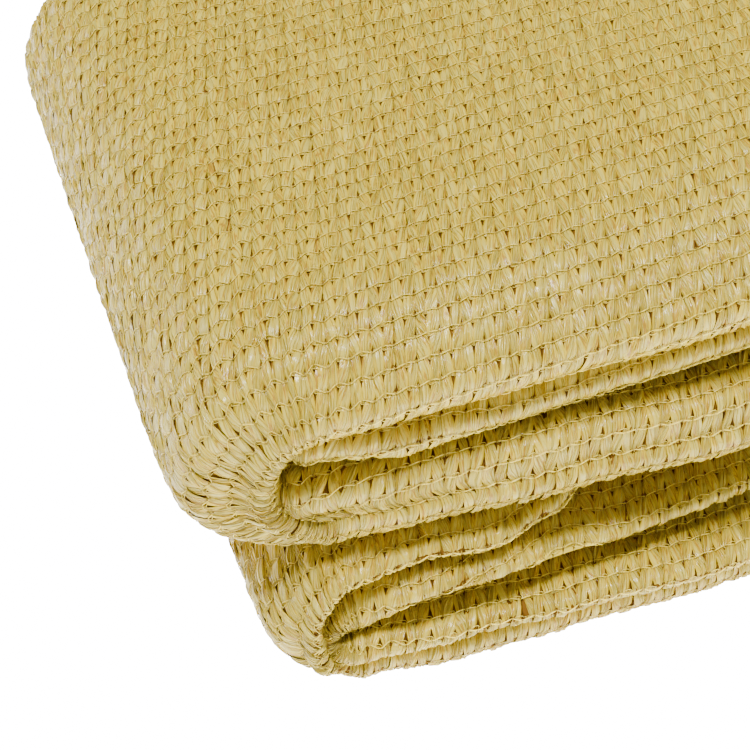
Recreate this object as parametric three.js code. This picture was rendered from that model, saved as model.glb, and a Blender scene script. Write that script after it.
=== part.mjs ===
// Length of knitted shade-sail cloth, doubled along a front fold and then folded back and forth.
// Millimetres, +Z up. X runs along the knitted rows, Y towards the back, Z = 0 is the surface it lies on.
import * as THREE from 'three';

const CLOTH_THICKNESS = 1.0;
const BACK_EDGE_Y = 146;
const COLUMN_LEAN = 0.085; // how far the cloth slants to +X for each mm towards the back
const LEFT_BEND_UPPER_X = -10;
const LEFT_BEND_LOWER_X = -9;
const RIGHT_BEND_X = 118;
const CUT_END_X = 128;
const CREASE_HALF_OPENING = 0.5;
const UNDULATION = 0.5; // height of the soft waves in the lying pile
const WAVE_LENGTH_X = 96;
const WAVE_LENGTH_Y = 74;
const WAVE_PHASE = 0.6;

// The fold line between the two plies, followed from run to run. A bend joins one run to the next.
const RUNS = [
  { startX: CUT_END_X, endX: LEFT_BEND_UPPER_X, z: 49 }, // top run
  { startX: LEFT_BEND_UPPER_X, endX: RIGHT_BEND_X, z: 32 }, // second run
  { startX: RIGHT_BEND_X, endX: LEFT_BEND_LOWER_X, z: 17.5 }, // third run
  { startX: LEFT_BEND_LOWER_X, endX: CUT_END_X, z: 4.5 }, // bottom run
];

// The front fold, section by section. `at` counts along the folded length: 0 to 1 is the top run,
// 1 to 2 its left bend, 2 to 3 the second run, 3 to 4 the right bend, and so on to 7.
// Each section has an outer roll, a crease and an inner roll: y is the place of its front,
// off its height off the fold line and half its half height. crown and sag are the heights of
// the outer and inner plies behind the fold, and shoulder is where the outer ply starts to fall.
const COLUMNS = ['at', 'outerY', 'outerOff', 'outerHalf', 'creaseY', 'creaseOff',
  'innerY', 'innerOff', 'innerHalf', 'crown', 'shoulder', 'sag'];
const SECTIONS = [
  [0.00, -5.0, 4.0, 4.5, 1.0, -0.5, -3.0, -4.0, 2.6, 16.0, 24, 5.0],
  [0.45, -3.0, 4.0, 4.5, 1.0, -0.5, -2.0, -4.0, 2.6, 16.0, 24, 5.0],
  [0.72, 0.0, 4.0, 4.5, 4.0, -0.8, 0.0, -4.6, 3.0, 16.0, 22, 5.0],
  [0.88, 1.0, 4.0, 4.2, 7.0, -1.2, 1.0, -5.2, 3.0, 16.0, 18, 4.5],
  [1.00, 2.0, 4.0, 4.0, 9.0, -1.0, 3.0, -4.9, 2.6, 16.5, 14, 4.2],
  [1.25, 2.0, 4.0, 3.8, 10.0, -0.8, 7.0, -4.2, 2.4, 18.5, 9, 3.2],
  [1.50, 2.0, 3.0, 3.5, 10.0, -0.8, 8.0, -4.0, 2.4, 19.0, 7, 2.4],
  [1.80, 1.0, 2.5, 3.3, 7.0, -0.8, 6.0, -4.0, 2.4, 12.5, 7, -2.5],
  [2.00, -1.0, 2.0, 3.2, 3.0, -0.8, 1.0, -4.4, 2.6, 7.5, 7, -6.0],
  [2.12, -4.0, 1.4, 3.0, -3.0, -1.4, -4.0, -4.2, 3.0, 5.0, 9, -7.0],
  [2.35, -8.0, 1.4, 3.2, -8.0, -1.4, -8.0, -4.4, 3.2, 2.5, 10, -8.0],
  [2.60, -13.0, 1.4, 3.0, -10.5, -1.2, -11.0, -4.4, 3.0, 2.0, 10, -8.0],
  [3.00, -15.0, 1.8, 2.8, -12.0, -0.8, -13.0, -4.2, 3.0, 2.0, 10, -7.5],
  [3.50, -10.0, 1.6, 2.2, -6.0, 0.0, -9.0, -2.6, 2.4, 3.5, 10, -6.0],
  [4.00, 4.0, 2.0, 2.4, 6.0, -0.5, -9.0, -2.0, 3.4, 6.0, 10, -4.0],
  [4.57, 4.0, 2.0, 2.4, 6.0, -0.5, -12.0, -2.0, 3.4, 6.5, 10, -3.0],
  [4.68, -5.0, 2.4, 2.2, 4.0, -0.5, -12.0, -2.4, 3.0, 6.0, 10, -3.0],
  [4.78, -9.0, 2.6, 2.0, 0.0, -0.5, -12.0, -2.6, 2.8, 5.5, 10, -3.0],
  [4.90, -6.5, 2.8, 1.8, 0.0, -0.5, -11.0, -2.6, 2.8, 4.8, 10, -3.0],
  [5.00, -7.0, 2.8, 1.8, 2.0, -0.5, -9.0, -2.6, 2.6, 4.8, 10, -3.0],
  [5.25, -8.5, 2.6, 2.0, 0.0, -0.4, -9.0, -2.2, 2.2, 6.8, 9, -3.0],
  [5.50, -10.0, 2.2, 2.2, -4.0, -0.3, -9.0, -2.0, 2.0, 10.5, 8, -3.0],
  [5.80, -11.0, 1.8, 2.0, -8.0, 0.3, -11.0, -2.0, 2.2, 6.0, 8, -3.5],
  [6.00, -12.5, 2.7, 1.6, -9.5, 0.3, -13.0, -2.0, 2.2, 4.6, 10, -4.0],
  [6.14, -15.1, 2.9, 1.5, -12.0, 0.4, -16.0, -2.0, 2.2, 4.6, 10, -4.5],
  [6.30, -16.8, 3.0, 1.5, -14.2, 0.5, -19.0, -2.1, 2.2, 4.6, 10, -5.0],
  [6.50, -19.3, 3.0, 1.5, -16.8, 0.5, -22.0, -2.1, 2.2, 4.6, 10, -5.0],
  [7.00, -25.0, 3.0, 1.5, -22.0, 0.5, -26.5, -2.1, 2.2, 4.6, 10, -5.0],
].map((row) => Object.fromEntries(COLUMNS.map((name, i) => [name, row[i]])));

// Shape of a section between the sizes in its row
const PLY_Y = [100, 60]; // places along the nearly flat plies behind the fold
const NOSE_LEAD = 1; // how far a roll's control points stand in front of it
const NOSE_FLATNESS = 0.75; // share of a roll's half height that its blunt front takes up
const SLOPE = { lead: 14, topDrop: 0.06, middle: 0.45, middleHeight: 0.52, foot: 3.2 }; // on the outer ply
const UNDERSIDE = { foot: 4, lead: 14, riseThere: 0.3 }; // on the inner ply

// How finely each run, bend and stretch of the section is cut into faces
const LONGEST_STEP_ON_RUN = 1 / 9;
const LONGEST_STEP_ON_BEND = 1 / 12;
const SPANS_BEHIND_FOLD = 4; // long, nearly flat spans of each ply, one face each
const STEPS_PER_FOLD_SPAN = 2;
const ROUNDING = 0.01;

const smooth = (t) => t * t * (3 - 2 * t);

// All columns of the section table, eased between the two rows on either side
function sectionAt(at) {
  const last = SECTIONS.length - 2;
  const found = SECTIONS.findIndex((row) => row.at > at);
  const i = found < 0 ? last : found - 1;
  const [before, after] = [SECTIONS[i], SECTIONS[i + 1]];
  const t = smooth(Math.min(1, (at - before.at) / (after.at - before.at)));
  const eased = (name) => THREE.MathUtils.lerp(before[name], after[name], t);
  return Object.fromEntries(COLUMNS.map((name) => [name, eased(name)]));
}

// Point of the fold line and the direction off it towards the outer ply, both in the X-Z plane
function foldLineAt(at) {
  const leg = Math.min(2 * RUNS.length - 2, Math.floor(at)); // even on a run, odd on a bend
  const t = at - leg;
  const run = RUNS[Math.floor(leg / 2)];
  const outward = Math.floor(leg / 2) % 2 === 0 ? 1 : -1;
  if (leg % 2 === 0) {
    return { x: THREE.MathUtils.lerp(run.startX, run.endX, t), z: run.z, offX: 0, offZ: outward };
  }
  const radius = (run.z - RUNS[Math.floor(leg / 2) + 1].z) / 2;
  const turn = Math.PI * t;
  return {
    x: run.endX - outward * radius * Math.sin(turn),
    z: run.z - radius + radius * Math.cos(turn),
    offX: -Math.sin(turn),
    offZ: outward * Math.cos(turn),
  };
}

// Control points of one section: from the outer ply's back edge, round the fold, to the inner ply's.
// At a depth below the face the rolls are smaller by that depth and the crease reaches further in.
function controlPoints(s, depth) {
  const crown = s.crown - depth;
  const sag = s.sag + depth;
  const outer = { y: s.outerY + depth, off: s.outerOff, half: s.outerHalf - depth };
  const crease = { y: s.creaseY + depth, off: s.creaseOff, half: CREASE_HALF_OPENING + depth };
  const inner = { y: s.innerY + depth, off: s.innerOff, half: s.innerHalf - depth };
  const fall = crown - outer.off - outer.half;
  const rise = sag - inner.off + inner.half;
  const noseFront = (roll) => [
    [roll.y - NOSE_LEAD, roll.off + NOSE_FLATNESS * roll.half],
    [roll.y - NOSE_LEAD, roll.off - NOSE_FLATNESS * roll.half],
  ];
  const points = [
    ...[BACK_EDGE_Y, ...PLY_Y].map((y) => [y, crown]),
    [outer.y + s.shoulder + SLOPE.lead, crown],
    [outer.y + s.shoulder, crown - SLOPE.topDrop * fall],
    [outer.y + SLOPE.middle * s.shoulder, outer.off + outer.half + SLOPE.middleHeight * fall],
    [outer.y + SLOPE.foot, outer.off + outer.half],
    ...noseFront(outer),
    [crease.y, crease.off + crease.half], [crease.y, crease.off - crease.half],
    ...noseFront(inner),
    [inner.y + UNDERSIDE.foot, inner.off - inner.half],
    [inner.y + UNDERSIDE.lead, inner.off - inner.half + UNDERSIDE.riseThere * rise],
    ...[BACK_EDGE_Y, ...PLY_Y].reverse().map((y) => [y, sag]),
  ].map(([y, off]) => new THREE.Vector2(y, off));
  const beyond = (end, next) => end.clone().multiplyScalar(2).sub(next);
  return [beyond(points[0], points[1]), ...points, beyond(points.at(-1), points.at(-2))];
}

// Uniform cubic B-spline through the control points, `across` counting its spans
function alongSection(points, across) {
  const span = Math.min(points.length - 4, Math.floor(across));
  const t = across - span;
  const weights = [(1 - t) ** 3, 3 * t ** 3 - 6 * t ** 2 + 4, -3 * t ** 3 + 3 * t ** 2 + 3 * t + 1, t ** 3];
  const point = new THREE.Vector2();
  weights.forEach((weight, i) => point.addScaledVector(points[span + i], weight / 6));
  return point;
}

const SPANS = controlPoints(SECTIONS[0], 0).length - 3;

// Point of the cloth, on its face or at a depth below it
function clothPoint(at, across, depth) {
  const line = foldLineAt(at);
  const { x: y, y: off } = alongSection(controlPoints(sectionAt(at), depth), across);
  const x = line.x + line.offX * off + COLUMN_LEAN * y;
  const z = Math.max(depth, line.z + line.offZ * off);
  const wave = Math.sin(2 * Math.PI * x / WAVE_LENGTH_X + WAVE_PHASE)
    * Math.sin(2 * Math.PI * y / WAVE_LENGTH_Y);
  return new THREE.Vector3(x, y, z + UNDULATION * wave * z / RUNS[0].z);
}

// Places of the cuts between faces: along the folded length, one at each section at least,
// and across the section
function cutsAlong() {
  const cuts = [];
  SECTIONS.slice(1).forEach((section, i) => {
    const start = SECTIONS[i].at;
    const onBend = Math.floor(start) % 2 === 1;
    const longest = onBend ? LONGEST_STEP_ON_BEND : LONGEST_STEP_ON_RUN;
    const steps = Math.ceil((section.at - start) / longest - ROUNDING);
    for (let step = 0; step < steps; step += 1) {
      cuts.push(THREE.MathUtils.lerp(start, section.at, step / steps));
    }
  });
  return [...cuts, SECTIONS.at(-1).at];
}

function cutsAcross() {
  const cuts = [];
  for (let span = 0; span < SPANS; span += 1) {
    const flat = span < SPANS_BEHIND_FOLD || span >= SPANS - SPANS_BEHIND_FOLD;
    const steps = flat ? 1 : STEPS_PER_FOLD_SPAN;
    for (let i = 0; i < steps; i += 1) cuts.push(span + i / steps);
  }
  return [...cuts, SPANS];
}

// A flat box of the cloth's thickness, cut into a grid and laid into the folds
function foldedClothGeometry() {
  const along = cutsAlong();
  const across = cutsAcross();
  const geometry = new THREE.BoxGeometry(1, 1, 1, along.length - 1, across.length - 1, 1);
  const position = geometry.getAttribute('position');
  for (let i = 0; i < position.count; i += 1) {
    const at = along[Math.round((position.getX(i) + 0.5) * (along.length - 1))];
    const over = across[Math.round((position.getY(i) + 0.5) * (across.length - 1))];
    const depth = position.getZ(i) > 0 ? 0 : CLOTH_THICKNESS;
    const point = clothPoint(at, over, depth);
    position.setXYZ(i, point.x, point.y, point.z);
  }
  return geometry;
}

// Stands the cloth on Z = 0 with its box centred on the origin
function centred(geometry) {
  geometry.computeBoundingBox();
  const { min, max } = geometry.boundingBox;
  return geometry.translate(-(min.x + max.x) / 2, -(min.y + max.y) / 2, -min.z);
}

function strawKnitMaterial() {
  return new THREE.MeshStandardMaterial({ color: 0xcdbd7e, roughness: 0.62, metalness: 0 });
}

const cloth = new THREE.Mesh(centred(foldedClothGeometry()), strawKnitMaterial());
cloth.name = 'folded_cloth';

const shadeSail = new THREE.Group();
shadeSail.add(cloth);

export default shadeSail;
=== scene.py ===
"""Knitted shade sail cloth, doubled along its front fold and folded back and forth."""
import math

import bmesh
import bpy
import numpy as np
from bpy.props import FloatProperty, FloatVectorProperty, PointerProperty
from mathutils import Matrix, Vector


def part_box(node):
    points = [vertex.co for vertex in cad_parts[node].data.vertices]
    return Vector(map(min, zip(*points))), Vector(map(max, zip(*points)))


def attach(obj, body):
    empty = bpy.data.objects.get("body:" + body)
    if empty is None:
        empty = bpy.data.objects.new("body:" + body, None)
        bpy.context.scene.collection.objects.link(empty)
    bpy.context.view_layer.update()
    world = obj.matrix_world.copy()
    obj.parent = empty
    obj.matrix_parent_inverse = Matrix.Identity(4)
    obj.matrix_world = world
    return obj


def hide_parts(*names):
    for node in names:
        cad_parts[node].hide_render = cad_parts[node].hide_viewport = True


bl_info = {
    "name": "Folded shade sail cloth",
    "version": (1, 0, 0),
    "blender": (4, 5, 0),
    "location": "3D View > Sidebar > Shade Sail",
    "description": "Lays knitted tapes and chain stitches on a folded length of shade sail cloth",
    "category": "Add Mesh",
}

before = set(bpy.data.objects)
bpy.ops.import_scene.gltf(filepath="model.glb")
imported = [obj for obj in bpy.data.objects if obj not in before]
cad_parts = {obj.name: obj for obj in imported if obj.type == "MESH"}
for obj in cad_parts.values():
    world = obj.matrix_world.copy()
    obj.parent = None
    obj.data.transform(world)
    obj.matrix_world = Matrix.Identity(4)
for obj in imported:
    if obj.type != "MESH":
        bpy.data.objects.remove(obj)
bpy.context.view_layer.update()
MM = 0.001

# The folds, in millimetres: the solid's, with the front fold's table refined at the bends and low runs.
BACK_EDGE_Y = 146
COLUMN_LEAN = 0.085  # how far the cloth slants to +X for each mm towards the back
CREASE_HALF_OPENING = 0.5
UNDULATION = 0.5  # height of the soft waves in the lying pile
WAVE_LENGTH_X = 96
WAVE_LENGTH_Y = 74
WAVE_PHASE = 0.6
RUNS = (  # start x, end x, z of the fold line between the plies
    (128, -10, 49),
    (-10, 118, 32),
    (118, -9, 17.5),
    (-9, 128, 4.5),
)

# The legs of the folded length, each one long when a place along it is counted in legs
LEGS = 7
TOP_RUN, UPPER_BEND, SECOND_RUN, RIGHT_BEND, THIRD_RUN, LOWER_BEND, BOTTOM_RUN = range(LEGS)

# The front fold, section by section: an outer roll, a crease and an inner roll, each by its front's y,
# its height off the fold line and half its height. crown and sag are the heights of the plies behind
# the fold, shoulder is where the outer ply starts to fall, and tuck draws the inner roll in along x.
COLUMNS = (
    "at", "outerY", "outerOff", "outerHalf", "creaseY", "creaseOff",
    "innerY", "innerOff", "innerHalf", "crown", "shoulder", "sag", "tuck",
)
SECTIONS = np.array((
    (0, -5, 4, 4.5, 1, -0.5, -3, -4, 2.6, 16, 24, 5, 0),
    (0.45, -3, 4, 4.5, 1, -0.5, -2, -4, 2.6, 16, 24, 5, 0),
    (0.72, 0, 4, 4.5, 4, -0.8, 0, -4.6, 3, 16, 22, 5, 0),
    (0.88, 1, 4, 4.2, 7, -1.2, 1, -5.2, 3, 16, 18, 4.5, 0),
    (1, 2, 4, 4, 9, -1, 6, -4.9, 2.8, 16.5, 14, 4.2, 3),
    (1.25, 2, 4, 3.8, 12, -0.8, 14, -5, 3, 18.5, 9, 3.2, 7),
    (1.5, 2, 3, 3.5, 12, -0.8, 16, -5.2, 3, 19, 7, 2.4, 8.5),
    (1.8, 1, 2.5, 3.3, 4.5, -0.8, 6, -5.2, 3, 12.5, 7, -2.5, 10),
    (2, -1, 2, 3.2, -0.3, -1.6, 2.5, -5, 3, 7.5, 7, -6, 7),
    (2.12, -4, 1.4, 3, -3.5, -1.4, -1, -4.2, 3, 5, 9, -7, 3),
    (2.35, -8, 1.4, 3.2, -7.5, -1.5, -5, -4.4, 3.2, 2.5, 10, -8, 0),
    (2.6, -12.5, 1.4, 3, -12, -1.5, -9.5, -4.4, 3, 2, 10, -8, 0),
    (3, -15, 1.8, 2.8, -14.7, -1.1, -12.5, -4.2, 3, 2, 10, -7.5, 0),
    (3.5, -10, 1.6, 2.2, -6, 0, -9, -2.6, 2.4, 3.5, 10, -6, 0),
    (4, 4, 2, 2.4, 6, -0.5, -9, -2, 3.4, 6, 10, -4, 0),
    (4.57, 4, 2.4, 2.4, 6, 0.4, -12, -1.2, 2.6, 6.5, 10, -3, 0),
    (4.68, -5, 3, 2.2, 4, 0.9, -12, -0.5, 1.8, 6.5, 10, -3, 0),
    (4.78, -9, 4.4, 1.7, 0, 1.6, -12, -0.1, 1.7, 7, 10, -3, 0),
    (4.9, -6.5, 4.8, 1.6, 0, 1.7, -11, -0.3, 1.9, 7.2, 10, -3, 0),
    (5, -7, 4.4, 1.6, 2, 1, -9, -3.6, 3.4, 7.2, 10, -3, 0),
    (5.25, -8.5, 3.2, 2, 0, -0.4, -9, -3.4, 3.1, 8, 9, -3, 2),
    (5.5, -10.6, 2.2, 2.2, -4, -0.3, -9, -3.2, 2.9, 10.5, 8, -3, 3),
    (5.65, -12, 2, 2.1, -6, 0, -10, -3.1, 2.9, 8.25, 8, -3.25, 3),
    (5.8, -10.6, 1.8, 2, -8, 0.3, -11, -3, 2.9, 6, 8, -3.5, 3),
    (6, -12, 2, 2.3, -9.5, -0.9, -13, -3.6, 2.2, 4.6, 10, -4, 1.5),
    (6.14, -15.7, 1.6, 2.8, -12, -1.8, -16, -4.2, 1.9, 4.6, 10, -4.5, 0),
    (6.3, -17.3, 1.6, 2.8, -14.2, -1.8, -19, -4.2, 1.9, 4.6, 10, -5, 0),
    (6.5, -19.9, 1.8, 2.6, -16.8, -1.6, -22, -4, 1.9, 4.6, 10, -5, 0),
    (7, -26.5, 2, 2.4, -22, -1.4, -26.5, -3.8, 1.9, 4.6, 10, -5, 0),
))
PLY_Y = (100, 60)  # places along the nearly flat plies behind the fold
NOSE_LEAD = 1  # how far a roll's control points stand in front of it
NOSE_FLATNESS = 0.75  # share of a roll's half height that its blunt front takes up
SLOPE_LEAD, SLOPE_TOP_DROP, SLOPE_MIDDLE, SLOPE_MIDDLE_HEIGHT, SLOPE_FOOT = 14, 0.06, 0.45, 0.52, 3.2
UNDERSIDE_FOOT, UNDERSIDE_LEAD, UNDERSIDE_RISE = 4, 14, 0.3
TUCKED = {10: 0.35, 11: 1.0, 12: 1.0, 13: 1.0, 14: 0.6}  # shares of the tuck at the inner roll's points
SPANS = 17  # of the section's curve, from the outer ply's back edge to the inner ply's
OUTER_NOSE = 7.5  # where the section turns round its outer roll, in spans

# How the flat cloth lies along the folds. The longest way round a bend keeps its length, and the
# cloth nearer the bend's middle is bunched.
BEND_REACHES = (16, 6, 9)  # how far off the fold line that way is
FLAT_TOP_Y = 60  # on the top run the knitted rows keep their distance from here
ROW_SAMPLES = 900
SECTION_SAMPLES = 700
OUTER_PLY_SAMPLES = SECTION_SAMPLES // 3  # of them, on the outer ply
LINES_APART = 0.4  # between the resampled face's lines
EDGE_ROOM = 0.5  # the knit stops this far inside the cut edges


class Folds:
    """The folded face of the cloth, addressed by the millimetres of the flat cloth."""

    def __init__(self):
        self.starts = np.concatenate(([0.0], np.cumsum(self.leg_lengths())))
        self.length = float(self.starts[-1])
        self.shift = np.zeros(3)
        cad_low, cad_high = (np.array(corner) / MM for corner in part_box("folded_cloth"))
        self.ats = np.linspace(0, LEGS, ROW_SAMPLES)
        self.overs = np.linspace(0, SPANS, SECTION_SAMPLES)
        face = self.points(self.ats, self.overs, 0.0)
        self.shift = cad_high - face.reshape(-1, 3).max(axis=0)
        self.shift[2] = cad_low[2]
        self.face = face + self.shift
        self.measure()

    @staticmethod
    def leg_lengths():
        """Millimetres of flat cloth along each leg."""
        lengths = []
        for i, (start, end, z) in enumerate(RUNS):
            lengths.append(abs(end - start))
            if i < len(BEND_REACHES):
                radius = (z - RUNS[i + 1][2]) / 2
                lengths.append(math.pi * (radius + BEND_REACHES[i]))
        return np.array(lengths, float)

    @staticmethod
    def sections_at(ats):
        """The section table's values at each place, one column for each name but the first."""
        found = np.clip(np.searchsorted(SECTIONS[:, 0], ats, side="right") - 1, 0, len(SECTIONS) - 2)
        before, after = SECTIONS[found], SECTIONS[found + 1]
        t = np.clip((ats - before[:, 0]) / (after[:, 0] - before[:, 0]), 0, 1)
        t = (t * t * (3 - 2 * t))[:, None]
        values = before + (after - before) * t
        return {name: values[:, i] for i, name in enumerate(COLUMNS)}

    @staticmethod
    def fold_line(ats):
        """x and z of the fold line, and the direction off it towards the outer ply."""
        out = np.zeros((4, len(ats)))
        legs = np.minimum(LEGS - 1, np.floor(ats).astype(int))
        for leg in range(LEGS):
            here = legs == leg
            t = ats[here] - leg
            start, end, z = RUNS[leg // 2]
            outward = 1 if (leg // 2) % 2 == 0 else -1
            if leg % 2 == 0:
                out[:, here] = np.array((start + (end - start) * t, z + 0 * t, 0 * t, outward + 0 * t))
                continue
            radius = (z - RUNS[leg // 2 + 1][2]) / 2
            turn = math.pi * t
            out[:, here] = np.array((
                end - outward * radius * np.sin(turn),
                z - radius + radius * np.cos(turn),
                -np.sin(turn),
                outward * np.cos(turn),
            ))
        return out

    @staticmethod
    def control_points(s, depth):
        """Control points (y, off, tuck) of each section, first from the outer ply's back edge."""
        crown, sag = s["crown"] - depth, s["sag"] + depth
        rolls = {}
        for roll in ("outer", "inner"):
            rolls[roll] = (s[roll + "Y"] + depth, s[roll + "Off"], s[roll + "Half"] - depth)
        (oy, oo, oh), (iy, io, ih) = rolls["outer"], rolls["inner"]
        cy, co, ch = s["creaseY"] + depth, s["creaseOff"], CREASE_HALF_OPENING + depth
        fall, rise = crown - oo - oh, sag - io + ih
        shoulder, flat = s["shoulder"], 0 * crown
        points = [(BACK_EDGE_Y + flat, crown), (PLY_Y[0] + flat, crown), (PLY_Y[1] + flat, crown)]
        points += [
            (oy + shoulder + SLOPE_LEAD, crown),
            (oy + shoulder, crown - SLOPE_TOP_DROP * fall),
            (oy + SLOPE_MIDDLE * shoulder, oo + oh + SLOPE_MIDDLE_HEIGHT * fall),
            (oy + SLOPE_FOOT, oo + oh),
            (oy - NOSE_LEAD, oo + NOSE_FLATNESS * oh),
            (oy - NOSE_LEAD, oo - NOSE_FLATNESS * oh),
            (cy, co + ch),
            (cy, co - ch),
            (iy - NOSE_LEAD, io + NOSE_FLATNESS * ih),
            (iy - NOSE_LEAD, io - NOSE_FLATNESS * ih),
            (iy + UNDERSIDE_FOOT, io - ih),
            (iy + UNDERSIDE_LEAD, io - ih + UNDERSIDE_RISE * rise),
        ]
        points += [(PLY_Y[1] + flat, sag), (PLY_Y[0] + flat, sag), (BACK_EDGE_Y + flat, sag)]
        tucks = [s["tuck"] * TUCKED.get(i, 0.0) for i in range(len(points))]
        p = np.stack([np.stack((*pair, tuck), axis=1) for pair, tuck in zip(points, tucks)], axis=1)
        return np.concatenate((2 * p[:, :1] - p[:, 1:2], p, 2 * p[:, -1:] - p[:, -2:-1]), axis=1)

    def points(self, ats, overs, depth):
        """Points of the face, or at a depth below it, as an array of sections by places across."""
        control = self.control_points(self.sections_at(ats), depth)
        span = np.minimum(SPANS - 1, np.floor(overs).astype(int))
        t = overs - span
        weights = ((1 - t) ** 3, 3 * t**3 - 6 * t**2 + 4, -3 * t**3 + 3 * t**2 + 3 * t + 1, t**3)
        section = sum(w[None, :, None] * control[:, span + i] for i, w in enumerate(weights)) / 6
        y, off, tuck = section[..., 0], section[..., 1], section[..., 2]
        line_x, line_z, off_x, off_z = (row[:, None] for row in self.fold_line(ats))
        x = line_x + off_x * off + COLUMN_LEAN * y - tuck
        z = np.maximum(depth, line_z + off_z * off)
        wave = np.sin(2 * np.pi * x / WAVE_LENGTH_X + WAVE_PHASE) * np.sin(2 * np.pi * y / WAVE_LENGTH_Y)
        return np.stack((x, y, z + UNDULATION * wave * z / RUNS[0][2]), axis=2) + self.shift

    def measure(self):
        """Millimetres across the cloth from its front fold, and the face resampled by them."""
        steps = np.linalg.norm(np.diff(self.face, axis=1), axis=2)
        measured = np.concatenate((np.zeros((len(self.ats), 1)), np.cumsum(steps, axis=1)), axis=1)
        at_nose = np.array([np.interp(OUTER_NOSE, self.overs, row) for row in measured])
        outer_y = self.face[:, :OUTER_PLY_SAMPLES, 1] - self.shift[1]
        at_flat = np.array([
            np.interp(-FLAT_TOP_Y, -y, row[:OUTER_PLY_SAMPLES]) for y, row in zip(outer_y, measured)
        ])
        joined = np.searchsorted(self.ats, SECOND_RUN)
        reach = (at_nose - at_flat)[joined]
        zero = np.where(self.ats < SECOND_RUN, at_flat + reach, at_nose)
        self.across = zero[:, None] - measured  # falls from the outer ply's back edge to the inner's
        self.upper, self.lower = self.across[:, 0], self.across[:, -1]
        self.lines = np.arange(self.lower.min(), self.upper.max(), LINES_APART)
        grid = np.empty((len(self.ats), len(self.lines), 3))
        for i, row in enumerate(self.across):
            for k in range(3):
                grid[i, :, k] = np.interp(self.lines, row[::-1], self.face[i, ::-1, k])
        along = np.gradient(grid, axis=0)
        over = np.gradient(grid, axis=1)
        normal = np.cross(over, along)
        normal /= np.maximum(np.linalg.norm(normal, axis=2, keepdims=True), 1e-9)
        self.grid, self.normal = grid, normal

    def at_of(self, along):
        """Place along the folded length of so many millimetres of flat cloth."""
        return np.interp(along, self.starts, np.arange(LEGS + 1.0))

    def edges(self, along):
        """How far the cloth reaches across at a place, to its two cut edges."""
        at = self.at_of(along)
        return np.interp(at, self.ats, self.lower), np.interp(at, self.ats, self.upper)

    def lay(self, along, across, height):
        """Points of the room, in metres, for points of the flat cloth and heights over it."""
        i = self.at_of(along) / LEGS * (len(self.ats) - 1)
        j = (across - self.lines[0]) / (self.lines[1] - self.lines[0])
        i0 = np.clip(np.floor(i).astype(int), 0, len(self.ats) - 2)
        j0 = np.clip(np.floor(j).astype(int), 0, len(self.lines) - 2)
        a, b = np.clip(i - i0, 0, 1)[:, None], np.clip(j - j0, 0, 1)[:, None]

        def blended(values):
            low = values[i0, j0] * (1 - a) + values[i0 + 1, j0] * a
            high = values[i0, j0 + 1] * (1 - a) + values[i0 + 1, j0 + 1] * a
            return low * (1 - b) + high * b

        normal = blended(self.normal)
        normal /= np.maximum(np.linalg.norm(normal, axis=1, keepdims=True), 1e-9)
        return (blended(self.grid) + normal * height[:, None]) * MM


FOLDS = Folds()

# Patches of the flat cloth that show, as shares of the legs along it and millimetres across it
PATCHES = {
    "top": ((TOP_RUN, -50, 170),),
    "upper": ((UPPER_BEND, -42, 170), (SECOND_RUN, -50, 17)),
    "lower": ((RIGHT_BEND, -176, 14), (THIRD_RUN, -24, 50)),
    "bottom": ((LOWER_BEND, -36, 170), (BOTTOM_RUN, -56, 10)),
}

# One repeat of the knit is two stitches long, and one row of tape wide. Distances along it are in
# stitches and across it in rows; heights are millimetres over the cloth's face.
STITCHES_IN_REPEAT = 2
WALE_LEAN = 0.5  # stitches that the knit moves on from one row to the next
ROW_START = 0.07  # of a row, from the front fold to the nearest chain
TAPE_COLUMNS = 5
TAPE_STEPS = 4
TAPES = (  # edges at the lower chain and at the upper one; the pleats gather to one side of the upper
    {"low": (0.19, 1.02), "high": (0.02, 0.76), "bulge": 0.145, "lift": 0.00, "tilt": 0.10, "gather": 2.1},
    {"low": (1.00, 1.86), "high": (1.31, 2.04), "bulge": 0.155, "lift": 0.12, "tilt": -0.10, "gather": 0.50},
)
TAPE_OVERLAP = 0.07  # of a row, past each chain
BEND_SWING = 0.11  # of a row, that the chains zigzag round the bends
SWING_FADE = 16  # millimetres of the length, over which that fades beside a bend
PRESSED = 0.1  # share left of the knit's depth under the table, which presses it flat
PART_KEPT = 0.2  # of a repeat or row, that the cut edges leave at least
PLEATS = (-0.12, 0.13, -0.11, 0.15, -0.10, 0.08)  # height of each edge between a tape's strips
THREAD_CORNERS = 3
THREAD_APART = 10.0  # between the threads of the unit, before they are placed
THREAD_STEPS = 4
THREAD_ENDS = 0.6  # share of the radius left at a thread's ends
THREADS = (  # share of the thread's radius, tone, and points: stitches along, rows across, millimetres up
    (1.00, 1.00, (
        (-0.06, -0.06, 0.02), (0.2, -0.036, 0.3), (0.5, 0, 0.34), (0.8, 0.036, 0.32), (1.05, 0.058, 0.06),
    )),
    (0.85, 0.97, (
        (0.96, 0.05, 0.06), (1.2, 0.046, 0.26), (1.5, 0.01, 0.31), (1.8, -0.036, 0.26), (2.03, -0.058, 0),
    )),
    (0.62, 0.90, (
        (0.84, -0.03, 0.02), (1, -0.105, 0.16), (1.22, -0.125, 0.22), (1.46, -0.11, 0.2), (1.72, -0.085, 0),
    )),
    # The knot thread's lower tone is painted shade, for the knot sunk among the tapes.
    (0.95, 0.80, (
        (-0.15, 0.1, -0.12), (-0.13, 0.03, 0.14), (-0.04, -0.03, 0.24), (0.05, -0.085, 0.14),
        (0.06, -0.14, -0.12),
    )),
)
KNOT = 3  # the thread that crosses a chain at its knots
# The knot thread is painted in ochre shade all along, for the knot sunk among the tapes.
KNOT_REACH = 0.9  # what its reach starts from, because it is ochre all along
MOST_STRAY = 1.7  # of the random numbers that move the knit, in standard deviations


def noise_table(seed, shape, spread):
    """A fixed table of random numbers round zero."""
    return np.random.default_rng(seed).normal(0.0, 1.0, shape).clip(-MOST_STRAY, MOST_STRAY) * spread


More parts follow.
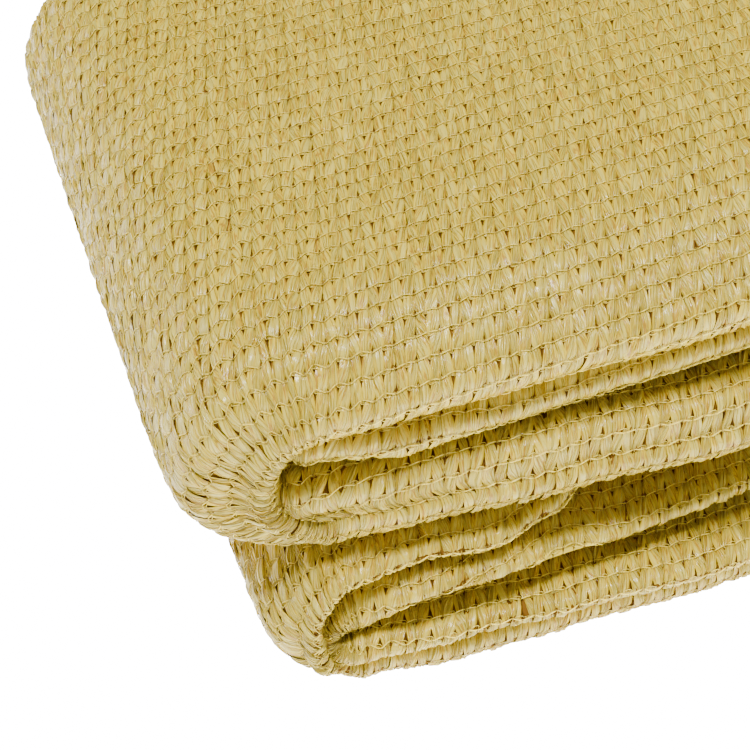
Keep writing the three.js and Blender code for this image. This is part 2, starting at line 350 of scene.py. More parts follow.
def at_lattice(table, along, across):
    """The table's values between its whole-number places."""
    i0, j0 = np.floor(along).astype(int), np.floor(across).astype(int)
    a, b = along - i0, across - j0
    i0, i1 = i0 % table.shape[0], (i0 + 1) % table.shape[0]
    j0, j1 = j0 % table.shape[1], (j0 + 1) % table.shape[1]
    low = table[i0, j0] * (1 - a) + table[i1, j0] * a
    high = table[i0, j1] * (1 - a) + table[i1, j1] * a
    return low * (1 - b) + high * b


class ClothSettings(bpy.types.PropertyGroup):
    """Sizes of the cloth and its knit, and the painted shade of what shows through its gaps."""

    stitch: FloatProperty(name="Stitch", description="Length of one stitch", default=2.15 * MM, unit="LENGTH")
    row: FloatProperty(name="Row", description="Distance between the chains", default=4.2 * MM, unit="LENGTH")
    sheet_depth: FloatProperty(
        name="Sheet depth", description="How far under the knit's face the closed sheet lies",
        default=0.55 * MM, unit="LENGTH",
    )
    sheet_thickness: FloatProperty(
        name="Sheet thickness", description="Thickness of the closed sheet", default=0.42 * MM, unit="LENGTH",
    )
    # Painted shade: the dark seen in the knit's holes, where little light gets in.
    hole_shade_colour: FloatVectorProperty(
        name="Sheet", description="Shaded tape seen through the knit's gaps", subtype="COLOR",
        default=(0.165, 0.074, 0.006),
    )
    flat_length: FloatProperty(name="Flat length", description="Cut length", default=0.64, unit="LENGTH")
    flat_width: FloatProperty(name="Flat width", description="Cut width", default=0.325, unit="LENGTH")


class TapeSettings(bpy.types.PropertyGroup):
    """Shape and colours of the tapes."""

    puff: FloatProperty(
        name="Puff", description="Rise of a tape between its chains", default=0.36 * MM, unit="LENGTH",
    )
    unevenness: FloatProperty(
        name="Unevenness", description="How much the knots and tapes stray", default=1.0, subtype="FACTOR",
    )
    pale: FloatVectorProperty(
        name="Pale straw", description="Flats of the tapes", subtype="COLOR", default=(0.61, 0.495, 0.078),
    )
    yellow: FloatVectorProperty(
        name="Yellow straw", description="Pleats and edges of the tapes", subtype="COLOR",
        default=(0.66, 0.465, 0.020),
    )
    # Painted shade: the ochre of the creases, of the tapes' ends under the knots, of the threads' ends and of
    # the knot thread.
    ochre: FloatVectorProperty(
        name="Ochre", description="Lines between the pleats", subtype="COLOR", default=(0.34, 0.155, 0.012),
    )


class ChainSettings(bpy.types.PropertyGroup):
    """Thickness and colour of the chain thread."""

    radius: FloatProperty(
        name="Thread radius", description="Half the thread's thickness", default=0.125 * MM, unit="LENGTH",
    )
    colour: FloatVectorProperty(
        name="Thread", description="Chain thread", subtype="COLOR", default=(0.89, 0.70, 0.078),
    )


class StageSettings(bpy.types.PropertyGroup):
    """Brightness of the surround, floor and lights, and the camera's place."""

    world: FloatProperty(name="Surround", description="Brightness of the white surround", default=0.14)
    key_light: FloatProperty(
        name="Key light", description="Power of the soft light overhead", default=10.7, unit="POWER",
    )
    front_light: FloatProperty(
        name="Front light", description="Power of the soft light in front", default=2.0, unit="POWER",
    )
    bounce: FloatProperty(name="Bounce", description="Light thrown up by the white table", default=4.5)
    floor_glow: FloatProperty(name="Floor", description="Brightness of the white floor", default=20.0)
    camera_turn: FloatProperty(
        name="Turn", description="Camera's azimuth", default=math.radians(-19.7), subtype="ANGLE",
    )
    camera_rise: FloatProperty(
        name="Rise", description="Camera's elevation", default=math.radians(44.2), subtype="ANGLE",
    )
    camera_roll: FloatProperty(
        name="Roll", description="Camera's roll", default=math.radians(-4.0), subtype="ANGLE",
    )
    camera_distance: FloatProperty(
        name="Distance", description="From the middle of the picture", default=0.36, unit="LENGTH",
    )
    camera_lens: FloatProperty(name="Lens", description="Focal length in millimetres", default=100.8)


class Value:
    """A shader socket. Arithmetic on it adds Math nodes to its tree."""

    def __init__(self, shade, socket):
        self.shade, self.socket = shade, socket

    def math(self, operation, *others):
        values = dict(enumerate((self, *others)))
        return self.shade.node("ShaderNodeMath", {"operation": operation}, values)

    def __add__(self, other):
        return self.math("ADD", other)

    def __sub__(self, other):
        return self.math("SUBTRACT", other)

    def __rsub__(self, other):
        return self.shade.node("ShaderNodeMath", {"operation": "SUBTRACT"}, {0: other, 1: self})

    def __mul__(self, other):
        return self.math("MULTIPLY", other)


class Shade:
    """A material under construction, round one Principled shader."""

    def __init__(self, name):
        self.material = bpy.data.materials.new(name)
        self.material.use_nodes = True
        self.tree = self.material.node_tree
        self.shader = next(n for n in self.tree.nodes if n.type == "BSDF_PRINCIPLED")

    def fill(self, node, sockets):
        for key, value in sockets.items():
            socket = node.inputs[key]
            if isinstance(value, Value):
                self.tree.links.new(value.socket, socket)
            elif socket.type == "RGBA" and len(value) == 3:
                socket.default_value = (*value, 1.0)
            else:
                socket.default_value = value

    def node(self, kind, settings=None, sockets=None, output=0):
        """Adds a node: its settings are set first, and then the values or links of its sockets."""
        node = self.tree.nodes.new(kind)
        for key, value in (settings or {}).items():
            setattr(node, key, value)
        self.fill(node, sockets or {})
        return Value(self, node.outputs[output])

    def mix(self, share, first, second):
        """A colour between two, by share."""
        settings = {"data_type": "RGBA"}
        return self.node("ShaderNodeMix", settings, {0: share, 6: first, 7: second}, output=2)

    def multiply(self, colour, other):
        settings = {"data_type": "RGBA", "blend_type": "MULTIPLY"}
        return self.node("ShaderNodeMix", settings, {0: 1.0, 6: colour, 7: other}, output=2)

    def steps(self, value, low, high, to_low=0.0, to_high=1.0):
        """The value carried smoothly from one range to another."""
        settings = {"interpolation_type": "SMOOTHSTEP"}
        return self.node("ShaderNodeMapRange", settings, {0: value, 1: low, 2: high, 3: to_low, 4: to_high})

    def attribute(self, name):
        """A number that the mesh holds at each vertex."""
        return self.node("ShaderNodeAttribute", {"attribute_name": name}, output="Fac")

    def off_middle(self, name):
        """How far an attribute from 0 to 1 is off its middle: 0 there, and 1 at both ends."""
        return (self.attribute(name) * 2.0 - 1.0).math("ABSOLUTE")

    def uv(self, stretch):
        """The piece's own map, stretched."""
        here = self.node("ShaderNodeUVMap", {"uv_map": "knit"})
        return self.node("ShaderNodeMapping", {}, {"Vector": here, "Scale": stretch})

    def noise(self, stretch, detail, roughness=0.5):
        """Noise on the piece's own map, stretched."""
        sockets = {"Vector": self.uv(stretch), "Scale": 1.0, "Detail": detail, "Roughness": roughness}
        return self.node("ShaderNodeTexNoise", {}, sockets)

    def bump(self, height, strength, distance):
        sockets = {"Height": height, "Strength": strength, "Distance": distance}
        return self.node("ShaderNodeBump", {}, sockets)

    def toned(self, colour):
        """The colour, lighter or darker by each tape's or thread's own tone."""
        tone = self.attribute("tone")
        return self.multiply(colour, self.node("ShaderNodeCombineColor", {}, {0: tone, 1: tone, 2: tone}))

    def finish(self, **sockets):
        self.fill(self.shader, {key.replace("_", " "): value for key, value in sockets.items()})
        return self.material


TAPE_RELIEF, THREAD_RELIEF, SHEET_RELIEF = 0.28 * MM, 0.05 * MM, 0.5 * MM  # height of each finish's bumps


def tape_material(tape):
    """Glossy tape: pale flats, yellow pleats and sides, and painted shade in ochre along the creases and
    where its ends tuck under the knots.
    """
    shade = Shade("straw_tape")
    streak = shade.noise((9.0, 0.7, 1.0), detail=3.0, roughness=0.6)
    fold = shade.noise((4.5, 0.45, 1.0), detail=1.0)
    crease = (fold - 0.5).math("ABSOLUTE")
    side = shade.attribute("side").math("ABSOLUTE")
    reach = shade.off_middle("reach")
    yellowness = shade.steps(crease, 0.10, 0.03) * 0.8 + shade.steps(streak, 0.48, 0.62) * 0.4
    yellowness = yellowness + shade.steps(side, 0.60, 0.95) * 0.8
    colour = shade.mix(yellowness.math("MINIMUM", 1.0), tape.pale, tape.yellow)
    # Painted shade: ochre lines in the creases between the pleats, and where the tape's ends tuck under the
    # knots.
    line = shade.steps(crease, 0.030, 0.004) * 0.75
    tucked_shade = shade.steps(side * 0.4 + reach * 0.6, 0.86, 1.0) * 0.75
    colour = shade.mix(line.math("MAXIMUM", tucked_shade), colour, tape.ochre)
    roughness = shade.steps(streak, 0.3, 0.7, 0.11, 0.34)
    groove = shade.steps(crease, 0.0, 0.09)
    crumple = shade.noise((3.2, 2.2, 1.0), detail=1.0)
    normal = shade.bump(streak + groove * 0.6 + fold + crumple * 0.9, 1.0, TAPE_RELIEF)
    return shade.finish(Base_Color=shade.toned(colour), Roughness=roughness, Normal=normal)


def thread_material(chain, tape):
    """Twisted thread, with painted shade in ochre at its ends, where it goes under the tapes."""
    shade = Shade("chain_thread")
    reach = shade.off_middle("reach")
    twist = shade.noise((6.0, 1.0, 1.0), detail=2.0)
    # Painted shade where the thread's ends go under the tapes.
    colour = shade.mix(shade.steps(reach, 0.7, 1.0) * 0.8, chain.colour, tape.ochre)
    roughness = shade.steps(twist, 0.3, 0.7, 0.34, 0.5)
    normal = shade.bump(twist, 0.3, THREAD_RELIEF)
    return shade.finish(Base_Color=shade.toned(colour), Roughness=roughness, Normal=normal)


def sheet_material(cloth, tape, chain):
    """The closed sheet: knitted in its finish where nothing is laid on it, with painted shade in its holes
    and between its stitches, and painted all in the holes' shade under the knit.
    """
    shade = Shade("sheet_knit")
    place = shade.node("ShaderNodeUVMap", {"uv_map": "knit"})
    along, across = (shade.node("ShaderNodeSeparateXYZ", {}, {0: place}, output=axis) for axis in (0, 1))
    level = across - ROW_START
    row = (level.math("FRACT") - 0.5).math("ABSOLUTE") * 2.0  # 1 on a chain, 0 halfway to the next
    stitch = ((along - level * WALE_LEAN).math("FRACT") - 0.5).math("ABSOLUTE") * 2.0  # 1 between stitches
    streak = shade.noise((7.0, 0.8, 1.0), detail=3.0)
    colour = shade.mix(shade.steps(streak, 0.40, 0.60), tape.pale, tape.yellow)
    # Painted shade: dark holes in the knit, and ochre lines between the stitches where the tapes overlap.
    hole_shade_mask = shade.steps(stitch + row * 0.45, 1.12, 1.25) * shade.steps(row, 0.30, 0.60)
    seam_shade_mask = shade.steps(stitch, 0.86, 0.98)
    colour = shade.mix(seam_shade_mask * 0.7, colour, tape.ochre)
    colour = shade.mix(hole_shade_mask * 0.8, colour, cloth.hole_shade_colour)
    line = shade.steps(row, 0.86, 0.93)
    colour = shade.mix(line * 0.9, colour, chain.colour)
    # Painted shade: under the knit the whole sheet takes the holes' shade, as only shade shows through there.
    covered = shade.attribute("covered")
    colour = shade.mix(covered, colour, cloth.hole_shade_colour)
    height = (1.0 - row * row) * 0.6 + line * 0.6 + streak * 0.5 - hole_shade_mask - seam_shade_mask * 0.5
    normal = shade.bump(height, 1.0, SHEET_RELIEF)
    return shade.finish(Base_Color=colour, Roughness=0.85, Specular_IOR_Level=0.1, Normal=normal)


def own(piece, material):
    """The piece takes its material, is shaded smooth and rides on the body."""
    piece.data.materials.clear()
    piece.data.materials.append(material)
    piece.data.polygons.foreach_set("use_smooth", np.ones(len(piece.data.polygons), bool))
    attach(piece, "root")
    return piece


def new_piece(name, mesh):
    piece = bpy.data.objects.new(name, mesh)
    bpy.context.scene.collection.objects.link(piece)
    return piece


def coordinates(mesh):
    values = np.empty(len(mesh.vertices) * 3, np.float32)
    mesh.vertices.foreach_get("co", values)
    return values.reshape(-1, 3).astype(float)


def set_coordinates(mesh, values):
    mesh.vertices.foreach_set("co", values.astype(np.float32).ravel())
    mesh.update()


def set_value(mesh, name, values):
    layer = mesh.attributes.new(name, "FLOAT", "POINT")
    layer.data.foreach_set("value", values.astype(np.float32))


def set_map(mesh, values):
    """Writes a map with one place for each vertex."""
    corners = np.empty(len(mesh.loops), np.int32)
    mesh.loops.foreach_get("vertex_index", corners)
    layer = mesh.uv_layers.get("knit") or mesh.uv_layers.new(name="knit")
    layer.data.foreach_set("uv", values[corners].astype(np.float32).ravel())


def repeated(unit, repeats, rows):
    """The unit's mesh, repeated along and across by arrays, as a new mesh."""
    holder = new_piece(unit.name, unit)
    for count, way in ((repeats, (1, 0, 0)), (rows, (0, 1, 0))):
        array = holder.modifiers.new("repeat", "ARRAY")
        array.count = count
        array.use_relative_offset = False
        array.use_constant_offset = True
        array.constant_offset_displace = way
    graph = bpy.context.evaluated_depsgraph_get()
    mesh = bpy.data.meshes.new_from_object(holder.evaluated_get(graph))
    bpy.data.objects.remove(holder)
    return mesh


def finished(build, name):
    """The mesh that was built."""
    mesh = bpy.data.meshes.new(name)
    build.to_mesh(mesh)
    build.free()
    return mesh


def joined(name, meshes):
    """One mesh of several."""
    build = bmesh.new()
    for mesh in meshes:
        build.from_mesh(mesh)
        bpy.data.meshes.remove(mesh)
    return finished(build, name)


def patch_rows(patch, cloth):
    """The patch's first row, and the one past its last."""
    return math.floor(patch[1] * MM / cloth.row), math.ceil(patch[2] * MM / cloth.row)


def patch_repeats(patch, cloth):
    """The first repeat of a patch, and the one past its last. Repeats count against the length."""
    length = STITCHES_IN_REPEAT * cloth.stitch / MM
    ends = []
    for joint in (patch[0] + 1, patch[0]):
        past = (joint == 0) - (joint == LEGS)  # the cut ends have one more, to be trimmed
        ends.append(math.ceil(-FOLDS.starts[joint] / length - 0.5) + past)
    return ends


def on_cloth(repeat, row, cloth):
    """True for the repeats that lie on the cloth with a good part of them."""
    length = STITCHES_IN_REPEAT * cloth.stitch / MM
    high = -repeat * length - WALE_LEAN * row * cloth.stitch / MM
    middle = high - length / 2
    bottom, top = FOLDS.edges(middle)
    part = PART_KEPT * length
    inside = (high - part > EDGE_ROOM) & (high - length + part < FOLDS.length - EDGE_ROOM)
    start = (row + ROW_START) * cloth.row / MM
    part = PART_KEPT * cloth.row / MM
    return inside & (start + cloth.row / MM - part > bottom + EDGE_ROOM) & (start + part < top - EDGE_ROOM)


def trimmed(along, across):
    """The places, with those past the cut edges brought back to them."""
    along = np.clip(along, EDGE_ROOM, FOLDS.length - EDGE_ROOM)
    bottom, top = FOLDS.edges(along)
    return along, np.clip(across, bottom + EDGE_ROOM, top - EDGE_ROOM)


def zigzag(along, stitches):
    """How far a chain swings across, in rows. It swings most round the bends, where the knit is pulled."""
    places, swings = [], []
    for leg in (UPPER_BEND, RIGHT_BEND, LOWER_BEND):
        start, end = FOLDS.starts[leg], FOLDS.starts[leg + 1]
        places += [start - SWING_FADE, start, end, end + SWING_FADE]
        swings += [0.0, BEND_SWING, BEND_SWING, 0.0]
    return -np.interp(along, places, swings) * np.cos(math.pi * stitches)


def patch_mesh(unit, patch, cloth, shape):
    """The unit repeated over a patch, shaped and laid into the folds. shape takes the repeat and row of
    each vertex, the unit's vertices and the number of copies, and gives each vertex's place and values."""
    (first, last), (first_row, last_row) = patch_repeats(patch, cloth), patch_rows(patch, cloth)
    repeats, rows = last - first, last_row - first_row
    in_unit = len(unit.vertices)
    raw = coordinates(unit)
    mesh = repeated(unit.copy(), repeats, rows)
    copies = np.arange(repeats * rows)
    row = first_row + copies // repeats
    repeat = first + copies % repeats - np.rint(WALE_LEAN / STITCHES_IN_REPEAT * row).astype(int)
    keep = on_cloth(repeat, row, cloth)
    place = shape(np.repeat(repeat, in_unit), np.repeat(row, in_unit), raw, len(copies))
    along = (place["along"] + WALE_LEAN * place["across"]) * cloth.stitch / MM
    across = (place["across"] + zigzag(-along, place["along"]) + ROW_START) * cloth.row / MM
    places = FOLDS.lay(*trimmed(-along, across), place["height"])
    places[:, 2] = np.maximum(places[:, 2], places[:, 2] * PRESSED)
    set_coordinates(mesh, places)
    for value in ("tone", "side", "reach"):
        set_value(mesh, value, place[value])
    set_map(mesh, place["map"])
    build = bmesh.new()
    build.from_mesh(mesh)
    build.verts.ensure_lookup_table()
    spare = np.flatnonzero(np.repeat(~keep, in_unit))
    bmesh.ops.delete(build, geom=[build.verts[i] for i in spare], context="VERTS")
    build.to_mesh(mesh)
    build.free()
    return mesh


def lay_patches(kind, unit, cloth, shape, material):
    """Lays one piece of the knit on each place of the cloth."""
    for place, patches in PATCHES.items():
        mesh = joined(kind + place, [patch_mesh(unit, patch, cloth, shape) for patch in patches])
        own(new_piece(kind + place, mesh), material)


# How much the knots stray, at one place for each stitch and row: in stitches, rows and millimetres
STRAY_SEED = 11
STRAY_PLACES = (331, 97)
STRAY_ALONG = noise_table(STRAY_SEED, STRAY_PLACES, 0.075)
STRAY_ACROSS = noise_table(STRAY_SEED + 1, STRAY_PLACES, 0.022)
STRAY_HEIGHT = noise_table(STRAY_SEED + 2, STRAY_PLACES, 0.05)


def strayed(along, across, amount):
    """The places, moved with the uneven knots round them, and the height that the knots add."""
    return (
        along + amount * at_lattice(STRAY_ALONG, along, across),
        across + amount * at_lattice(STRAY_ACROSS, along, across),
        amount * at_lattice(STRAY_HEIGHT, along, across),
    )


def tape_unit():
    """Flat grids: x is -1 to 1 across a tape, y is 0 to 1 along it and z is which tape it is. The
    creases along a tape are sharp."""
    build = bmesh.new()
    for i in range(len(TAPES)):
        made = bmesh.ops.create_grid(build, x_segments=TAPE_COLUMNS, y_segments=TAPE_STEPS, size=1.0)
        bmesh.ops.scale(build, vec=(1, 0.5, 1), verts=made["verts"])
        bmesh.ops.translate(build, vec=(0, 0.5, i), verts=made["verts"])
    for edge in build.edges:
        edge.smooth = abs(edge.verts[0].co.x - edge.verts[1].co.x) > 0.01
    return finished(build, "tape_unit")


def thread_unit():
    """Straight three-cornered threads: x is 0 to 1 along a thread, y and z are its corners."""
    build = bmesh.new()
    for i in range(len(THREADS)):
        corners = bmesh.ops.create_circle(build, segments=THREAD_CORNERS, radius=1.0, cap_ends=True)["verts"]
        bmesh.ops.rotate(build, verts=corners, matrix=Matrix.Rotation(math.pi / 2, 3, "Y"))
        bmesh.ops.translate(build, vec=(0, 0, THREAD_APART * i), verts=corners)
        ends = [edge for edge in build.edges if all(corner in corners for corner in edge.verts)]
        for _ in range(THREAD_STEPS):
            grown = bmesh.ops.extrude_edge_only(build, edges=ends)["geom"]
            corners = [item for item in grown if isinstance(item, bmesh.types.BMVert)]
            edges = [item for item in grown if isinstance(item, bmesh.types.BMEdge)]
            ends = [edge for edge in edges if all(corner in corners for corner in edge.verts)]
            bmesh.ops.translate(build, vec=(1 / THREAD_STEPS, 0, 0), verts=corners)
        bmesh.ops.contextual_create(build, geom=ends)
    bmesh.ops.recalc_face_normals(build, faces=build.faces)
    return finished(build, "thread_unit")


# How unevenly the tapes are made, in standard deviations
EDGE_STRAY, EDGE_STRAY_MIDDLE = 0.025, 0.02  # of a stitch, and the more halfway along
CREASE_STRAY, CREASE_LEAN = 0.045, 0.03  # of the tape's width
PUFF_STRAY, PLEAT_STRAY = 0.25, 0.4  # of the puff, and of the pleats' height
TILT_STRAY, CREASE_HEIGHT_STRAY = 0.09, 0.08  # millimetres
TONE_STRAY, MAP_LEAN = 0.055, 0.22

TONE = 0.95  # of the tapes, on average
MAP_ROOM = 50  # each tape has its own place on the noises, this far off at most
ROUNDNESS = 0.6  # power of the arch between the chains: flatter than a half wave
SIDE_DROP = 0.35  # share of the puff that a tape's sides lack
PLEAT_AT_CHAIN = 0.45  # share of the pleats' height at the chains
TAPE_SINK = 0.12  # millimetres that the tapes' ends lie under the cloth's face


def tape_shape(tape):
    """How the vertices of the repeated tapes are placed."""
    low, high, bulge, lift, tilt, gather = (np.array([kind[key] for kind in TAPES]) for key in TAPES[0])

    def shape(repeat, row, raw, copies):
        w, reach, kind = (np.tile(raw[:, axis], copies) for axis in range(3))
        kind = np.rint(kind).astype(int)
        column = np.rint((w + 1) / 2 * TAPE_COLUMNS).astype(int)
        copy = np.repeat(np.arange(copies), len(raw))
        chance = np.random.default_rng([copies, abs(int(repeat[0])), abs(int(row[0]))])
        tapes = (copies, len(TAPES))
        mine = chance.normal(0, 1, (*tapes, 7))[copy, kind].clip(-MOST_STRAY, MOST_STRAY) * tape.unevenness
        crease = chance.normal(0, 1, (*tapes, TAPE_COLUMNS + 1))[copy, kind, column] * tape.unevenness
        shift = chance.uniform(0, MAP_ROOM, (*tapes, 2))[copy, kind]
        left_stray, right_stray, lean, puff_stray, pleat_stray, tilt_stray, tone_stray = mine.T
        arch = np.sin(np.pi * reach)
        edge_stray = EDGE_STRAY + EDGE_STRAY_MIDDLE * arch
        left = low[kind, 0] * (1 - reach) + high[kind, 0] * reach - bulge[kind] * arch
        right = low[kind, 1] * (1 - reach) + high[kind, 1] * reach + bulge[kind] * arch
        left = left + left_stray * edge_stray
        right = right + right_stray * edge_stray
        share = ((w + 1) / 2) ** (1 + (gather[kind] - 1) * reach)
        inside = (column > 0) & (column < TAPE_COLUMNS)
        share = share + inside * (CREASE_STRAY * crease + CREASE_LEAN * lean * (reach - 0.5))
        along = STITCHES_IN_REPEAT * repeat + left + (right - left) * share
        across = row + reach * (1 + 2 * TAPE_OVERLAP) - TAPE_OVERLAP
        along, across, stray = strayed(along, across, tape.unevenness)
        rise = tape.puff / MM * arch ** ROUNDNESS * (1 - SIDE_DROP * w * w) * (1 + PUFF_STRAY * puff_stray)
        pleat = np.array(PLEATS)[column] * (1 + PLEAT_STRAY * pleat_stray) + CREASE_HEIGHT_STRAY * crease
        pleat = pleat * (PLEAT_AT_CHAIN + (1 - PLEAT_AT_CHAIN) * arch)
        tilted = w * (tilt[kind] + TILT_STRAY * tilt_stray)
        return {
            "along": along,
            "across": across,
            "height": rise + pleat - TAPE_SINK + lift[kind] * arch + tilted + stray,
            "tone": TONE + TONE_STRAY * tone_stray,
            "side": w,
            "reach": reach,
            "map": np.stack((w * 0.5 + MAP_LEAN * lean * reach, reach), axis=1) + shift,
        }

    return shape


THREAD_TONE_STRAY = 0.05
THREAD_FOLLOWS = 0.5  # share of the knots' uneven height


def thread_shape(chain, cloth):
    """How the vertices of the repeated threads are placed."""
    shares, tones, paths = (np.array(values) for values in zip(*THREADS))

    def shape(repeat, row, raw, copies):
        reach, side, up = (np.tile(raw[:, axis], copies) for axis in range(3))
        kind = np.rint(up / THREAD_APART).astype(int)
        up = up - THREAD_APART * kind
        step = np.rint(reach * THREAD_STEPS).astype(int)
        path = paths[kind, step]
        at_end = (step == 0) | (step == THREAD_STEPS)
        radius = chain.radius / MM * shares[kind] * np.where(at_end, THREAD_ENDS, 1.0)
        along = STITCHES_IN_REPEAT * repeat + path[:, 0]
        across = row + path[:, 1] + side * radius / (cloth.row / MM)
        along, across, stray = strayed(along, across, 1.0)
        chance = np.random.default_rng([copies, abs(int(repeat[0])), abs(int(row[0])), 1])
        bright = chance.normal(0, THREAD_TONE_STRAY, (copies, len(THREADS)))
        return {
            "along": along,
            "across": across,
            "height": path[:, 2] + up * radius + stray * THREAD_FOLLOWS,
            "tone": tones[kind] + bright[np.repeat(np.arange(copies), len(raw)), kind],
            "side": side,
            "reach": np.where(kind == KNOT, KNOT_REACH + (1 - KNOT_REACH) * reach, reach),
            "map": np.stack((reach + kind, np.arctan2(up, side) / math.pi), axis=1),
        }

    return shape


SHEET_ALONG = 250
SHEET_ACROSS = 76
# Painted shade on the sheet under the knit reaches only this far inside the knitted patches.
COVER_ROOM = 3.5  # the sheet is as dark as a gap only this far inside the knitted patches


def covered_at(along, across, cloth):
    """1 where the knit is laid over a place and all round it, and 0 elsewhere."""
    bottom, top = FOLDS.edges(along)
    out = np.ones(len(along))
    for step, over in ((0, 0), (1, 0), (-1, 0), (0, 1), (0, -1)):
        here, there = along + step * COVER_ROOM, across + over * COVER_ROOM
        inside = np.zeros(len(along), bool)
        for patch in sum(PATCHES.values(), ()):
            low, high = (row * cloth.row / MM for row in patch_rows(patch, cloth))
            on_leg = (here >= FOLDS.starts[patch[0]]) & (here <= FOLDS.starts[patch[0] + 1])
            inside |= on_leg & (there > low) & (there < high)
        out *= inside & (there > bottom) & (there < top)
    return out


def sheet_mesh(cloth):
    """A flat grid laid into the folds, a little under the knit's face."""
    build = bmesh.new()
    bmesh.ops.create_grid(build, x_segments=SHEET_ALONG, y_segments=SHEET_ACROSS, size=1.0)
    mesh = finished(build, "closed_sheet")
    raw = coordinates(mesh)
    i = np.rint((raw[:, 0] + 1) / 2 * SHEET_ALONG).astype(int)
    j = np.rint((raw[:, 1] + 1) / 2 * SHEET_ACROSS).astype(int)
    lengths = np.linspace(0, FOLDS.length, SHEET_ALONG + 1)
    nearest = np.rint(FOLDS.at_of(lengths) / LEGS * (ROW_SAMPLES - 1)).astype(int)
    overs = np.linspace(0, SPANS, SHEET_ACROSS + 1)
    across_at = np.array([np.interp(overs, FOLDS.overs, row) for row in FOLDS.across])
    along, across = lengths[SHEET_ALONG - i], across_at[nearest][SHEET_ALONG - i, j]
    set_coordinates(mesh, FOLDS.lay(along, across, np.full(len(i), -cloth.sheet_depth / MM)))
    set_value(mesh, "covered", covered_at(along, across, cloth))
    set_map(mesh, np.stack((-along * MM / cloth.stitch, across * MM / cloth.row), axis=1))
    return mesh


class FOLDED_OT_sheet(bpy.types.Operator):
    """Lays the closed sheet of the cloth into its folds"""

    bl_idname = "shade_sail.sheet"
    bl_label = "Closed sheet"

    def execute(self, context):
        cloth, tape, chain = context.scene.sail_cloth, context.scene.sail_tape, context.scene.sail_chain
        piece = new_piece("cloth_sheet", sheet_mesh(cloth))
        wall = piece.modifiers.new("thickness", "SOLIDIFY")
        wall.thickness = cloth.sheet_thickness
        wall.offset = -1.0
        own(piece, sheet_material(cloth, tape, chain))
        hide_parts("folded_cloth")
        return {"FINISHED"}


class FOLDED_OT_tapes(bpy.types.Operator):
    """Lays the knitted tapes on the cloth, patch by patch"""

    bl_idname = "shade_sail.tapes"
    bl_label = "Tapes"

    def execute(self, context):
        cloth, tape = context.scene.sail_cloth, context.scene.sail_tape
        lay_patches("tapes_", tape_unit(), cloth, tape_shape(tape), tape_material(tape))
        return {"FINISHED"}


class FOLDED_OT_chains(bpy.types.Operator):
    """Lays the chains of stitches along the rows, over the tapes' ends"""

    bl_idname = "shade_sail.chains"
    bl_label = "Chain stitches"

    def execute(self, context):
        cloth, tape, chain = context.scene.sail_cloth, context.scene.sail_tape, context.scene.sail_chain
        lay_patches("chains_", thread_unit(), cloth, thread_shape(chain, cloth), thread_material(chain, tape))
        return {"FINISHED"}


class FOLDED_OT_declare(bpy.types.Operator):
    bl_idname = "shade_sail.declare"
    bl_label = "Declare the sheet"

    def execute(self, context):
        return {"FINISHED"}


PICTURE_MIDDLE_Z = 65  # height of the top run's crown, which the middle of the picture looks at
SENSOR_WIDTH = 36.0  # millimetres
NEAR, FAR = 0.01, 20.0  # what the camera sees, in metres
FLOOR_HALF = 3.0  # half a side of the floor, in metres
FLOOR_LEVEL, UNDER_LEVEL = -0.4 * MM, -0.8 * MM
WHITE, FLOOR_GREY = (1.0, 1.0, 1.0), (0.8, 0.8, 0.8)
LIGHTS_AIM = Vector((0.0, 0.0, 0.03))
KEY_PLACE, KEY_SIZE = (0.0, -0.01, 0.75), 0.22
FRONT_PLACE, FRONT_SIZE = (0.05, -0.66, 0.20), 0.5


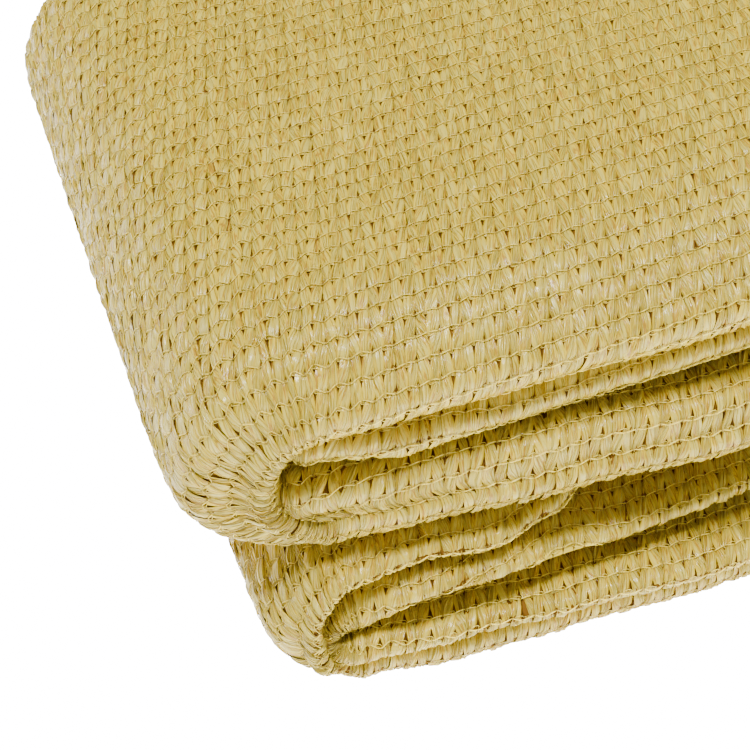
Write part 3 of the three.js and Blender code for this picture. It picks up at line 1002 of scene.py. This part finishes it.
class FOLDED_OT_stage(bpy.types.Operator):
    """Makes the pale floor, the soft lights and the camera"""

    bl_idname = "shade_sail.stage"
    bl_label = "Stage"

    def execute(self, context):
        stage = context.scene.sail_stage
        self.floor(stage)
        self.lights(context, stage)
        self.camera(context, stage)
        return {"FINISHED"}

    def floor(self, stage):
        """A bright floor that only the camera sees, over a plain one that only the light sees."""
        floors = (("floor", FLOOR_LEVEL, stage.floor_glow), ("floor_under", UNDER_LEVEL, stage.bounce))
        for name, level, glow in floors:
            build = bmesh.new()
            bmesh.ops.create_grid(build, x_segments=1, y_segments=1, size=FLOOR_HALF)
            bmesh.ops.translate(build, vec=(0, 0, level), verts=build.verts)
            floor = new_piece(name, finished(build, name))
            floor.data.materials.append(Shade(name).finish(
                Base_Color=FLOOR_GREY, Roughness=0.9, Emission_Color=WHITE, Emission_Strength=glow,
            ))
            seen = name == "floor"
            floor.visible_camera = seen
            floor.visible_diffuse = floor.visible_glossy = floor.visible_shadow = not seen

    def lights(self, context, stage):
        """A white surround, and soft lights overhead and in front."""
        world = bpy.data.worlds.new("white_surround")
        world.use_nodes = True
        background = next(n for n in world.node_tree.nodes if n.type == "BACKGROUND")
        background.inputs["Color"].default_value = (*WHITE, 1.0)
        background.inputs["Strength"].default_value = stage.world
        context.scene.world = world
        for name, place, size, power in (
            ("key_light", KEY_PLACE, KEY_SIZE, stage.key_light),
            ("front_light", FRONT_PLACE, FRONT_SIZE, stage.front_light),
        ):
            light = bpy.data.lights.new(name, "AREA")
            light.energy, light.size = power, size
            holder = bpy.data.objects.new(name, light)
            holder.location = place
            holder.rotation_euler = (LIGHTS_AIM - Vector(place)).to_track_quat("-Z", "Y").to_euler()
            context.scene.collection.objects.link(holder)

    def camera(self, context, stage):
        """Looks at the top run's crown over the middle of the packet."""
        turn, rise, roll = stage.camera_turn, stage.camera_rise, stage.camera_roll
        forward = Vector((-math.sin(turn) * math.cos(rise), math.cos(turn) * math.cos(rise), -math.sin(rise)))
        right = Vector((math.cos(turn), math.sin(turn), 0))
        up = right.cross(forward)
        rolled_right = right * math.cos(roll) + up * math.sin(roll)
        rolled_up = up * math.cos(roll) - right * math.sin(roll)
        middle = Vector((*FOLDS.shift[:2], PICTURE_MIDDLE_Z)) * MM
        camera = bpy.data.cameras.new("camera")
        camera.sensor_width, camera.lens = SENSOR_WIDTH, stage.camera_lens
        camera.clip_start, camera.clip_end = NEAR, FAR
        holder = bpy.data.objects.new("camera", camera)
        place = Matrix((rolled_right, rolled_up, -forward)).transposed().to_4x4()
        place.translation = middle - forward * stage.camera_distance
        holder.matrix_world = place
        context.scene.collection.objects.link(holder)
        context.scene.camera = holder


OPERATORS = (FOLDED_OT_sheet, FOLDED_OT_tapes, FOLDED_OT_chains, FOLDED_OT_declare, FOLDED_OT_stage)
SETTINGS = {
    "sail_cloth": ClothSettings,
    "sail_tape": TapeSettings,
    "sail_chain": ChainSettings,
    "sail_stage": StageSettings,
}


class FOLDED_PT_panel(bpy.types.Panel):
    """Sizes and colours of the folded cloth, and the steps that make it"""

    bl_label = "Folded shade sail cloth"
    bl_idname = "FOLDED_PT_panel"
    bl_space_type = "VIEW_3D"
    bl_region_type = "UI"
    bl_category = "Shade Sail"

    def draw(self, context):
        for name, kind in SETTINGS.items():
            box = self.layout.box()
            for key in kind.__annotations__:
                box.prop(getattr(context.scene, name), key)
        for operator in OPERATORS:
            self.layout.operator(operator.bl_idname)


CLASSES = (*SETTINGS.values(), *OPERATORS, FOLDED_PT_panel)


def register():
    for kind in CLASSES:
        bpy.utils.register_class(kind)
    for name, kind in SETTINGS.items():
        setattr(bpy.types.Scene, name, PointerProperty(type=kind))


def unregister():
    for name in SETTINGS:
        delattr(bpy.types.Scene, name)
    for kind in reversed(CLASSES):
        bpy.utils.unregister_class(kind)


def main():
    """Makes every piece and the stage."""
    register()
    for operator in OPERATORS:
        category, name = operator.bl_idname.split(".")
        getattr(getattr(bpy.ops, category), name)()


if __name__ == "__main__":
    main()
